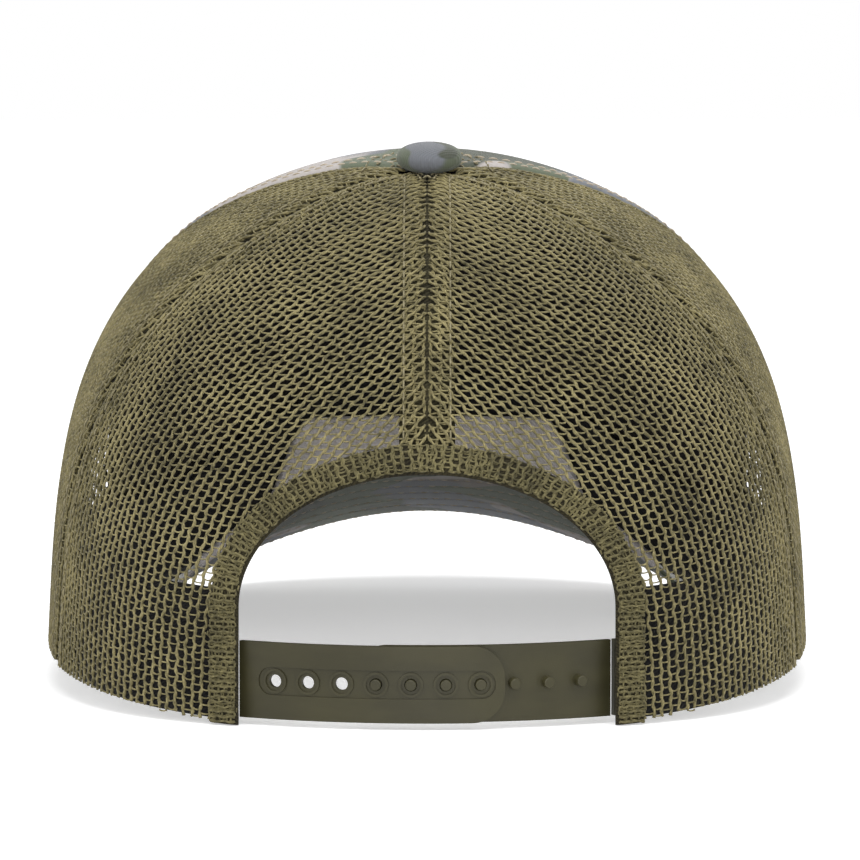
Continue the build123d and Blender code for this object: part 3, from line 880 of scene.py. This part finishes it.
def visorCover(side):
    # cloth over the board: its offset closes to nothing round the edge, and dips along each stitch row
    across, forward = np.meshgrid(np.linspace(-1, 1, 161), np.linspace(0, 1, 73) ** 0.8, indexing="ij")
    x, y, reach = visorPlan(across, forward)
    edge = np.minimum((1 - forward) * reach, (1 - np.abs(across)) * visor["halfWidth"] + 0.3)
    dips = sum(np.exp(-(((1 - forward) * reach - row) / 0.8) ** 2) for row in stitchRows)
    closing = edgeRound(edge, visor["edgeRound"])
    inner = (visor["boardHalf"] + 0.02) * closing + 0.03
    outer = inner + visor["skin"] * (0.15 + 0.85 * closing) - visor["quilting"] * dips * closing
    flat = np.stack([x, y], axis=-1)
    if side > 0:
        part = slab(visorAt(across, forward, outer), visorAt(across, forward, inner), flat)
        return part[0], part[1][:, ::-1], part[2]
    return slab(visorAt(across, forward, -outer), visorAt(across, forward, -inner), flat)


for label, side, node, cloth in (
        ("visorTop", 1, "visor_top_cover", camoCloth), ("visorUnder", -1, "visor_under_cover", camoUnderPaintedShade)):
    part = visorCover(side)
    piece = addPiece(label, part[0], part[1], cloth, "cap", "camo_fabric", (node,), part[2])
    surfaceArea(part)
print("visor covered")


stitch = {"pitch": 3.1, "long": 2.35, "radius": 0.24, "rise": 0.22}


def stitchPart(line, normals, pitch=None, radius=None):
    # short rounded threads along a line, each bowed out of the cloth: height = rise * sin(pi t)
    pitch = pitch or stitch["pitch"]
    radius = radius or stitch["radius"]
    run = np.concatenate([[0], np.cumsum(np.linalg.norm(np.diff(line, axis=0), axis=1))])
    count = int(run[-1] / pitch)
    share = np.linspace(0, 1, 7)
    reach = (share - 0.5) * stitch["long"] / stitch["pitch"] * pitch
    place = (np.arange(count)[:, None] + 0.5) * pitch + reach
    points = np.stack([np.interp(place, run, line[:, k]) for k in range(3)], axis=-1)
    out = unit(np.stack([np.interp(place, run, normals[:, k]) for k in range(3)], axis=-1))
    bow = np.sin(math.pi * share)
    points = points + out * (stitch["rise"] * bow - 0.12)[None, :, None]
    size = radius * (0.25 + 0.75 * bow ** 0.5)
    return tube(points, out, size[None, :], size[None, :], 6)


def crownStitches(name, offsets, low, high, depth=0.0):
    parts = []
    for offset in offsets:
        climb = np.linspace(0, 1, 240)
        lift = climb
        for _ in range(6):
            turn = beside(name, offset)(lift)
            lift = low(turn) + (high(turn) - low(turn)) * climb
        level = depth + seamRelief(np.full_like(turn, abs(offset)))
        parts.append(stitchPart(crownAt(turn, lift, level), crownNormal(turn, lift)))
    return joined(parts)


aboveArch = lengthLine(archTopLength + 4)
seams = {
    "rearCentreStitches": ("rearCentre", (-4.6, 4.6), aboveArch, seamThread, False),
    "rearSideStitches": ("rearSide", (-4.6, 4.6), lengthLine(1.5), seamThread, True),
    "frontSideStitches": ("frontSide", (1.8, 5.0), lengthLine(1.5), tanThread, True),
    "frontCentreStitches": ("frontCentre", (-3.2, 3.2), lengthLine(1.5), tanThread, False),
}
for label, (seam, offsets, low, thread, both) in seams.items():
    part = crownStitches(seam, offsets, low, lambda turn: liftNearApex(turn, crown["stitchStop"]))
    part = joined([part, mirrored(part)]) if both else part
    addPiece(label, part[0], part[1], thread, "cap", None, (), part[2])


def visorStitches(side):
    parts = []
    for row in stitchRows:
        across = np.linspace(-0.97, 0.97, 400)
        reach = visorPlan(across, 0 * across)[2]
        across = across[reach > row + 4]
        reach = visorPlan(across, 0 * across)[2]
        forward = 1 - row / reach
        x, y, _ = visorPlan(across, forward)
        offset = visor["boardHalf"] + 0.05 + visor["skin"] - visor["quilting"]
        line = visorAt(across, forward, side * (offset + 0 * across))
        parts.append(stitchPart(line, side * visorNormal(x, y), 2.9, 0.2))
    return joined(parts)


for label, side in (("visorTopStitches", 1), ("visorUnderStitches", -1)):
    part = visorStitches(side)
    addPiece(label, part[0], part[1], tanThread, "cap", None, (), part[2])
print("stitches sewn")


button = {
    "radius": 7.45, "half": 3.25, "middle": 119.3, "across": 0.5, "tilt": 8.0, "power": 2.35,
    "folds": 14, "fold": 0.012,
}


def buttonPart(shrink, rings=40, sides=96):
    # a flattened ball: radius^p + height^p = 1, with faint folds gathered towards its foot
    fall = np.linspace(0.004, math.pi - 0.004, rings)[:, None]
    angle = np.arange(sides) / sides * 2 * math.pi
    p = 2 / button["power"]
    out = np.sin(fall) ** p
    high = np.sign(np.cos(fall)) * np.abs(np.cos(fall)) ** p
    folds = 1 + button["fold"] * np.cos(button["folds"] * angle) * np.clip(-high, 0, 1) ** 0.5
    x = (button["radius"] - shrink) * out * np.cos(angle) * folds
    y = (button["radius"] - shrink) * out * np.sin(angle) * folds
    z = (button["half"] - shrink) * high + 0 * angle
    tilt = math.radians(button["tilt"])
    back = y * math.cos(tilt) - z * math.sin(tilt)
    high = y * math.sin(tilt) + z * math.cos(tilt)
    turned = np.stack([x, back, high], axis=-1)
    rings3 = turned + [button["across"], crown["apexY"], button["middle"]]
    uv = np.stack([x, y], axis=-1)
    return ringTube(rings3[None], uv[None])


part = buttonPart(0.0)
addPiece("buttonCover", part[0], part[1][:, ::-1], camoButton, "cap", "camo_fabric",
         ("button_cover",), part[2])
part = buttonPart(0.75)
addPiece("buttonShell", part[0], part[1][:, ::-1], buttonMetal, "cap", "button_metal",
         ("button_shell",), part[2])
print("button made")

# the nodes that stay as they are get their own finishes
finishes = {
    "snap_strap_left": strapPlastic, "snap_strap_right": strapPlastic, "snap_strap_left_tab": strapPlastic,
    "snap_strap_right_tab": strapPlastic, "visor_board": boardPlastic, "button_washer": buttonMetal,
}
for nodeName, material in finishes.items():
    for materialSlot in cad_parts[nodeName].material_slots:
        materialSlot.material = material


def whiteFloor():
    # pale floor that keeps the shadow: a white diffuse lifted for camera, gloss and glass rays alone
    material = bpy.data.materials.new("whiteFloor")
    material.use_nodes = True
    tree = material.node_tree
    tree.nodes.clear()
    output = addNode(tree, "ShaderNodeOutputMaterial")
    diffuse = addNode(tree, "ShaderNodeBsdfDiffuse", {"Color": (0.86, 0.86, 0.865, 1)})
    path = addNode(tree, "ShaderNodeLightPath")
    seen = calc(tree, "MAXIMUM", path.outputs["Is Camera Ray"], path.outputs["Is Glossy Ray"])
    seen = calc(tree, "MAXIMUM", seen, path.outputs["Is Transmission Ray"])
    lifted = calc(tree, "MULTIPLY", seen, 0.46)
    glow = addNode(tree, "ShaderNodeEmission", {"Color": (1, 1, 1, 1), "Strength": lifted})
    both = addNode(tree, "ShaderNodeAddShader")
    tree.links.new(diffuse.outputs[0], both.inputs[0])
    tree.links.new(glow.outputs[0], both.inputs[1])
    tree.links.new(both.outputs[0], output.inputs["Surface"])
    return material


floorMesh = bpy.data.meshes.new("floor")
reach = 2.0
corners = [(-reach, -reach, 0), (reach, -reach, 0), (reach, reach, 0), (-reach, reach, 0)]
floorMesh.from_pydata(corners, [], [(0, 1, 2, 3)])
floorMesh.materials.append(whiteFloor())
floor = bpy.data.objects.new("floor", floorMesh)
scene.collection.objects.link(floor)

world = bpy.data.worlds.new("studio")
scene.world = world
world.use_nodes = True
worldTree = world.node_tree
worldTree.nodes.clear()
worldPath = addNode(worldTree, "ShaderNodeLightPath")
seenByCamera, seenInGloss = worldPath.outputs["Is Camera Ray"], worldPath.outputs["Is Glossy Ray"]
worldSeen = calc(worldTree, "MAXIMUM", seenByCamera, seenInGloss)
worldSeen = calc(worldTree, "MAXIMUM", worldSeen, worldPath.outputs["Is Transmission Ray"])
ambient = 0.3
worldStrength = calc(worldTree, "ADD", calc(worldTree, "MULTIPLY", worldSeen, 1 - ambient), ambient)
background = addNode(worldTree, "ShaderNodeBackground", {"Color": (1, 1, 1, 1), "Strength": worldStrength})
addNode(worldTree, "ShaderNodeOutputWorld", {"Surface": background.outputs[0]})

lamps = {
    "topLamp": {"at": (0.0, -0.45, 1.7), "size": 1.3, "power": 18},
    "leftLamp": {"at": (-1.5, -1.2, 1.0), "size": 1.2, "power": 9},
    "rightLamp": {"at": (1.5, -1.0, 0.9), "size": 1.2, "power": 7},
    "frontLamp": {"at": (0.2, 1.7, 1.1), "size": 1.2, "power": 8},
    "rearLamp": {"at": (0.1, -1.9, 0.45), "size": 0.9, "power": 9},
}
aim = np.array([0.0, 0.0, 0.06])
for name, lamp in lamps.items():
    light = bpy.data.lights.new(name, "AREA")
    light.energy, light.size = lamp["power"], lamp["size"]
    holder = bpy.data.objects.new(name, light)
    holder.location = lamp["at"]
    holder.rotation_euler = Vector(aim - np.array(lamp["at"])).to_track_quat("-Z", "Y").to_euler()
    scene.collection.objects.link(holder)

view = {"elevation": 6.05, "distance": 1.7, "target": (0.00065, 0.0, 0.0551), "lens": 308.0}
cameraData = bpy.data.cameras.new("camera")
cameraData.lens = view["lens"]
cameraData.sensor_width = 36.0
cameraData.clip_start, cameraData.clip_end = 0.05, 20.0
camera = bpy.data.objects.new("camera", cameraData)
lean = math.radians(view["elevation"])
target = Vector(view["target"])
camera.location = target + Vector((0, -math.cos(lean), math.sin(lean))) * view["distance"]
camera.rotation_euler = (target - camera.location).to_track_quat("-Z", "Y").to_euler()
scene.collection.objects.link(camera)
scene.camera = camera
scene.view_settings.view_transform = "Standard"
print("camera and lights set")
